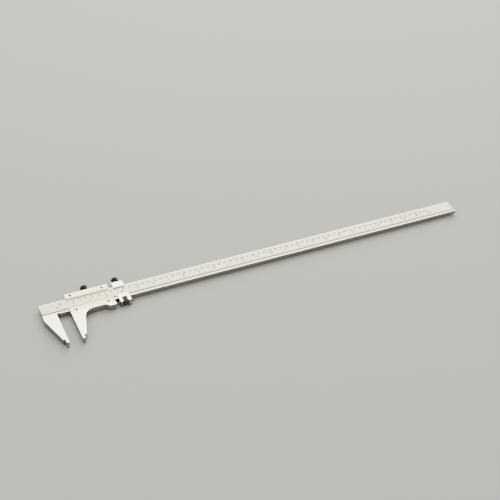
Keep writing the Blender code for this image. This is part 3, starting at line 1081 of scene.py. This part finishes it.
@dataclass(frozen=True)
class SlottedScrew:
    """A screw with a screwdriver slot across its head."""

    name: str
    node: str
    radius: float
    thickness: float
    shank: Thread
    length: float
    slot_width: float = 0.5 * MM
    slot_depth: float = 0.35 * MM
    chamfer: float = 0.2 * MM

    def add_head(self, surface: Surface, facing: Facing, centre: np.ndarray, turn: float) -> None:
        """Adds the head.

        It is carried across the slot, from one side to the other. Each section is a closed loop:
        up one flank, over the top and down the other, half as long as the circle's chord there.
        Inside the slot the top lies lower.

        Args:
            surface: Where the shell goes.
            facing: Which way the head points.
            centre: The middle of the head's top.
            turn: How far the slot is turned, in degrees.
        """
        half = self.slot_width / 2
        outer = self.radius * np.sin(np.linspace(0, math.pi / 2, 9))
        outer = outer[outer > half]
        steps = np.concatenate([-outer[::-1], (-half, -half, half, half), outer])
        drop = np.zeros(len(steps))
        drop[len(outer) + 1 : len(outer) + 3] = self.slot_depth
        chord = np.sqrt(np.clip(self.radius**2 - steps**2, 0, None))
        inner = np.sqrt(np.clip((self.radius - self.chamfer) ** 2 - steps**2, 0, None))
        bevel = np.where(drop > 0, self.slot_depth, self.chamfer)
        columns = (
            (-chord, np.full(len(steps), -self.thickness)),
            (-chord, -bevel),
            (-inner, -drop),
            (inner, -drop),
            (chord, -bevel),
            (chord, np.full(len(steps), -self.thickness)),
        )
        x = np.stack([column[0] for column in columns], axis=1)
        z = np.stack([column[1] for column in columns], axis=1)
        y = np.repeat(steps[:, None], 6, axis=1)
        angle = math.radians(turn)
        across = x * math.cos(angle) - y * math.sin(angle)
        along = x * math.sin(angle) + y * math.cos(angle)
        local = np.stack([across, along, z], axis=-1)
        points = local @ np.array(facing.value, dtype=float) + centre
        ends = [points[row].mean(axis=0, keepdims=True).repeat(6, axis=0)[None] for row in (0, -1)]
        crest = np.where(drop[:, None] > 0, 0.0, 0.75) * np.ones((1, 6))
        pole = np.full((1, 6), 0.75)
        surface.add_grid(np.concatenate([ends[0], points, ends[1]]), np.concatenate([pole, crest, pole]))

    def build(self, facing: Facing, centre: np.ndarray, turn: float, body: Body, material: bpy.types.Material) -> None:
        """Builds the screw.

        Args:
            facing: Which way its head points.
            centre: The middle of its head's top.
            turn: How far the slot is turned, in degrees.
            body: The body that it moves with.
            material: Its finish.
        """
        surface = Surface()
        self.add_head(surface, facing, centre, turn)
        top = -self.thickness + 0.05 * MM
        self.shank.add(surface, -self.thickness - self.length, top, facing, centre)
        fit(surface.make(self.name, 30), body, Slot.SCREW, material, self.node)


@dataclass(frozen=True)
class Beam:
    """The graduated beam with its fixed jaw."""

    datum: Datum
    stop_x: float = 703 * MM
    stop_y: float = 13.2 * MM
    metric: Ruling = Ruling(
        "beam_metric", 11 * MM, MM, 650, 5, 10, 24 * MM, (-1.8 * MM, -2.2 * MM, -2.6 * MM),
        0.22 * MM, 10, 1, 18.5 * MM, 4.0 * MM, 0.9 * MM,
    )
    inch: Ruling = Ruling(
        "beam_inch", 5 * MM, INCH / 20, 520, 2, 20, 6.2 * MM, (1.8 * MM, 2.5 * MM, 3.2 * MM),
        0.22 * MM, 20, 1, 12.6 * MM, 4.0 * MM, 0.9 * MM,
    )

    def build(self, palette: Palette) -> None:
        """Builds the beam, its graduations and its stop screw."""
        beam = refined_copy("main_beam", "beam_with_fixed_jaw", 0.08 * MM)
        fit(beam, Body.BEAM, Slot.SATIN, palette.beam, "main_beam")
        self.metric.build(self.datum, Body.BEAM, palette.filler)
        self.inch.build(self.datum, Body.BEAM, palette.filler)
        stop = SlottedScrew(
            "beam_end_stop", "beam_stop_screw", 2.5 * MM, 1.0 * MM, Thread(1.3 * MM, 0.5 * MM, 0.25 * MM), 4.5 * MM
        )
        where = self.datum.at(self.stop_x, self.stop_y, -BEAM_THICKNESS - 1.2 * MM)
        stop.build(Facing.BACK, where, 20, Body.BEAM, palette.screw)


@dataclass(frozen=True)
class ThumbScrew:
    """A knurled clamp screw."""

    name: str
    node: str
    body: Body
    collar_top: float = 2.2 * MM
    collar_radius: float = 3.4 * MM
    head_top: float = 11 * MM
    head_radius: float = 5.5 * MM
    tip: float = -6.7 * MM
    grip_margin: float = 0.9 * MM

    def build(self, centre: np.ndarray, material: bpy.types.Material) -> None:
        """Builds the screw.

        Args:
            centre: The point on its axis at the top of the part that it clamps.
            material: Its finish.
        """
        radius, top, low = self.head_radius, self.head_top, self.collar_top
        knots = (
            (0, top - 0.3 * MM),
            (radius - 2.3 * MM, top - 0.3 * MM),
            (radius - 1.9 * MM, top),
            (radius - 0.9 * MM, top),
            (radius - 0.15 * MM, top - 0.75 * MM),
            (radius, top - self.grip_margin),
            (radius, low + self.grip_margin),
            (radius - 0.15 * MM, low + 0.75 * MM),
            (radius - 0.9 * MM, low),
            (self.collar_radius + 0.3 * MM, low),
            (self.collar_radius, low - 0.3 * MM),
            (self.collar_radius, 0.5 * MM),
            (self.collar_radius - 0.2 * MM, 0.3 * MM),
            (0, 0.3 * MM),
        )
        grip = Grip(Knurl.DIAMOND, 40, 0.32 * MM, low + self.grip_margin, top - self.grip_margin)
        surface = Surface()
        add_turned(surface, knots, Facing.UP, centre, grip, step=0.12 * MM)
        Thread(2.0 * MM, 0.7 * MM, 0.35 * MM).add(surface, self.tip, 0.5 * MM, Facing.UP, centre)
        fit(surface.make(self.name, 35), self.body, Slot.BLACK, material, self.node)


@dataclass(frozen=True)
class Slider:
    """The slider with its moving jaw, two vernier plates and their screws."""

    datum: Datum
    length: float = 69 * MM
    clamp_x: float = 35 * MM
    screw_x: tuple[float, float] = (9.5 * MM, 59.5 * MM)
    upper_screw_y: float = 30.2 * MM
    lower_screw_y: float = -2.05 * MM
    gib_screw_x: tuple[float, float] = (19 * MM, 51 * MM)
    metric: Ruling = Ruling(
        "metric_vernier", 11 * MM, 0.98 * MM, 50, 5, 10, 23.05 * MM, (1.5 * MM, 1.9 * MM, 2.3 * MM),
        0.18 * MM, 5, 1, 26.85 * MM, 1.4 * MM, 0.26 * MM,
        Face((23 * MM, 25.4 * MM, 35 * MM), (0.6 * MM, 1.7 * MM, 1.7 * MM)),
    )
    inch: Ruling = Ruling(
        "inch_vernier", 5 * MM, 2.45 * INCH / 50, 50, 5, 10, 5.75 * MM, (-1.5 * MM, -1.9 * MM, -2.3 * MM),
        0.18 * MM, 5, 5, 1.55 * MM, 1.5 * MM, 0.28 * MM,
        Face((5.8 * MM, 3.4 * MM, -5.6 * MM), (0.6 * MM, 1.7 * MM, 1.7 * MM)),
    )

    def build(self, palette: Palette) -> None:
        """Builds the slider and all that is screwed to it."""
        body = refined_copy("slider_body", "slider_with_moving_jaw", 0.08 * MM)
        fit(body, Body.SLIDER, Slot.SATIN, palette.ground, "slider_body")
        for node, name in (("upper_vernier_plate", "metric_vernier_plate"), ("lower_vernier_plate", "inch_vernier_plate")):
            plate = refined_copy(node, name, 0.05 * MM, 15)
            fit(plate, Body.SLIDER, Slot.PLATE, palette.plate, node)
        self.metric.build(self.datum, Body.SLIDER, palette.filler)
        self.inch.build(self.datum, Body.SLIDER, palette.filler)
        self.build_screws(palette)
        self.build_fine_screw(palette)
        clamp = ThumbScrew("slider_thumb_screw", "slider_clamp_screw", Body.SLIDER_CLAMP)
        clamp.build(self.datum.at(self.clamp_x, SLIDER_TOP, -BEAM_THICKNESS / 2), palette.black)

    def build_screws(self, palette: Palette) -> None:
        """Builds the plates' screws and the gib's set screws."""
        shank = Thread(1.2 * MM, 0.4 * MM, 0.2 * MM)
        for side, x, turn in zip(("left", "right"), self.screw_x, (25, 75)):
            for row, y in (("upper", self.upper_screw_y), ("lower", self.lower_screw_y)):
                node = f"{row}_vernier_plate_screw_{side}"
                screw = SlottedScrew(f"{row}_plate_{side}_screw", node, 2.1 * MM, 0.6 * MM, shank, 5 * MM)
                screw.build(Facing.FRONT, self.datum.at(x, y, FRONT_STEP), turn, Body.SLIDER, palette.screw)
        shank = Thread(1.3 * MM, 0.4 * MM, 0.2 * MM)
        for side, x, turn in zip(("left", "right"), self.gib_screw_x, (10, 60)):
            screw = SlottedScrew(
                f"gib_{side}_set_screw", f"slider_gib_screw_{side}", 1.3 * MM, 0.8 * MM, shank, 5.1 * MM
            )
            top = self.datum.at(x, SLIDER_TOP - 0.8 * MM, -BEAM_THICKNESS / 2)
            screw.build(Facing.UP, top, turn, Body.SLIDER, palette.screw)

    def build_fine_screw(self, palette: Palette) -> None:
        """Builds the screw of the fine adjustment and the set screw that holds it."""
        surface = Surface()
        centre = self.datum.at(0, -6.2 * MM, -BEAM_THICKNESS / 2)
        Thread(1.6 * MM, 0.5 * MM, 0.25 * MM).add(surface, 60.8 * MM, 97.5 * MM, Facing.ALONG, centre)
        fit(surface.make("fine_adjusting_screw", 60), Body.SLIDER, Slot.SCREW, palette.rod, "fine_adjust_screw")
        lock = SlottedScrew(
            "stub_set_screw", "fine_screw_lock", 1.0 * MM, 0.6 * MM, Thread(1.0 * MM, 0.4 * MM, 0.18 * MM), 3.0 * MM
        )
        centre = self.datum.at(self.length - 4.8 * MM, -11.7 * MM, -BEAM_THICKNESS / 2)
        lock.build(Facing.DOWN, centre, 40, Body.SLIDER, palette.screw)


@dataclass(frozen=True)
class Carriage:
    """The fine-adjustment carriage, its clamp and its nut."""

    datum: Datum
    length: float = 17.4 * MM
    nut_low: float = 4.9 * MM
    nut_high: float = 12.1 * MM
    nut_radius: float = 5.75 * MM
    axis_y: float = -6.2 * MM

    def build(self, palette: Palette) -> None:
        """Builds the carriage, its clamp screw and the nut between its ears."""
        body = refined_copy("carriage_body", "fine_adjustment_carriage", 0.08 * MM)
        fit(body, Body.CARRIAGE, Slot.SATIN, palette.ground, "carriage_body")
        clamp = ThumbScrew("carriage_thumb_screw", "carriage_clamp_screw", Body.CARRIAGE_CLAMP)
        clamp.build(self.datum.at(self.length / 2, SLIDER_TOP, -BEAM_THICKNESS / 2), palette.black)
        bore, radius = 1.8 * MM, self.nut_radius
        low, high = self.nut_low, self.nut_high
        knots = (
            (bore, low),
            (radius - 0.7 * MM, low),
            (radius, low + 0.7 * MM),
            (radius, high - 0.7 * MM),
            (radius - 0.7 * MM, high),
            (bore, high),
            (bore, low),
        )
        grip = Grip(Knurl.STRAIGHT, 44, 0.3 * MM, low + 0.6 * MM, high - 0.6 * MM)
        surface = Surface()
        centre = self.datum.at(0, self.axis_y, -BEAM_THICKNESS / 2)
        add_turned(surface, knots, Facing.ALONG, centre, grip, step=0.6 * MM)
        fit(surface.make("fine_adjusting_nut", 35), Body.FINE_NUT, Slot.BLACK, palette.black, "fine_adjust_nut")


# ------------------------------------------------------------------ studio


@dataclass(frozen=True)
class Softbox:
    """A large square light that faces the tool."""

    name: str
    heading: float
    elevation: float
    distance: float
    size: float
    radiance: float
    colour: str = "#FFF8E8"

    def build(self) -> None:
        """Hangs the light, heading and elevation in degrees, heading 0 beyond the tool along +Y."""
        data = bpy.data.lights.new(self.name, "AREA")
        data.shape = "SQUARE"
        data.size = self.size
        data.energy = self.radiance * math.pi * self.size**2
        data.color = linear(self.colour)[:3]
        lamp = bpy.data.objects.new(self.name, data)
        heading, elevation = math.radians(self.heading), math.radians(self.elevation)
        way = Vector(
            (
                math.sin(heading) * math.cos(elevation),
                math.cos(heading) * math.cos(elevation),
                math.sin(elevation),
            )
        )
        lamp.location = way * self.distance
        lamp.rotation_euler = way.to_track_quat("Z", "Y").to_euler()
        lamp.visible_camera = False
        bpy.context.scene.collection.objects.link(lamp)


@dataclass(frozen=True)
class Studio:
    """Floor, lights and camera."""

    camera_place: tuple[float, float, float] = (-0.60691, -1.05618, 1.04378)
    right: tuple[float, float, float] = (0.90182, -0.42737, 0.06383)
    up: tuple[float, float, float] = (0.22964, 0.59913, 0.76701)
    lens: float = 72.03
    sensor: float = 36.0
    floor_half: float = 9.0
    sky: str = "#F7F5EE"
    horizon: float = 0.55
    zenith: float = 1.25
    lights: tuple[Softbox, ...] = (
        Softbox("back_softbox", 28, 42, 2.6, 2.6, 7.5),
        Softbox("left_softbox", -75, 50, 2.6, 1.6, 3.0),
        Softbox("front_softbox", 160, 55, 3.0, 1.6, 2.2),
    )

    def build(self) -> None:
        """Lays the floor, hangs the lights and sets up the camera."""
        half = self.floor_half
        mesh = bpy.data.meshes.new("floor")
        corners = [(-half, -half, 0), (half, -half, 0), (half, half, 0), (-half, half, 0)]
        mesh.from_pydata(corners, [], [(0, 1, 2, 3)])
        mesh.materials.append(PalePaper().build())
        floor = bpy.data.objects.new("floor", mesh)
        bpy.context.scene.collection.objects.link(floor)
        self.build_sky()
        for light in self.lights:
            light.build()
        right, up = Vector(self.right).normalized(), Vector(self.up).normalized()
        data = bpy.data.cameras.new("camera")
        data.lens = self.lens
        data.sensor_width = self.sensor
        camera = bpy.data.objects.new("camera", data)
        turned = Matrix((right, up, right.cross(up))).transposed().to_4x4()
        camera.matrix_world = Matrix.Translation(self.camera_place) @ turned
        bpy.context.scene.collection.objects.link(camera)
        bpy.context.scene.camera = camera

    def build_sky(self) -> None:
        """Makes a dome of soft light, dimmer towards the horizon so that the metal's sides have depth."""
        world = bpy.data.worlds.new("soft_sky")
        world.use_nodes = True
        tree = world.node_tree
        tree.nodes.clear()
        place = add_node(tree, "ShaderNodeTexCoord")
        split = add_node(tree, "ShaderNodeSeparateXYZ", {"Vector": place.outputs["Generated"]})
        strength = add_node(
            tree,
            "ShaderNodeMapRange",
            {"Value": split.outputs["Z"], "To Min": self.horizon, "To Max": self.zenith},
            interpolation_type="SMOOTHSTEP",
        )
        sky = add_node(
            tree, "ShaderNodeBackground", {"Color": linear(self.sky), "Strength": strength.outputs[0]}
        )
        add_node(tree, "ShaderNodeOutputWorld", {"Surface": sky.outputs[0]})
        bpy.context.scene.world = world


def main() -> None:
    """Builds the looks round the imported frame."""
    logging.basicConfig(level=logging.INFO, format="%(message)s")
    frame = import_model()
    beam, slider, carriage = Datum.find()
    palette = Palette(beam)
    Beam(beam).build(palette)
    Slider(slider).build(palette)
    Carriage(carriage).build(palette)
    for node in ("slider_gib", "carriage_gib"):
        for place in range(len(frame["nodes"][node].material_slots)):
            frame["nodes"][node].material_slots[place].material = palette.bronze
    Studio().build()
    bpy.context.view_layer.update()


if __name__ == "__main__":
    main()
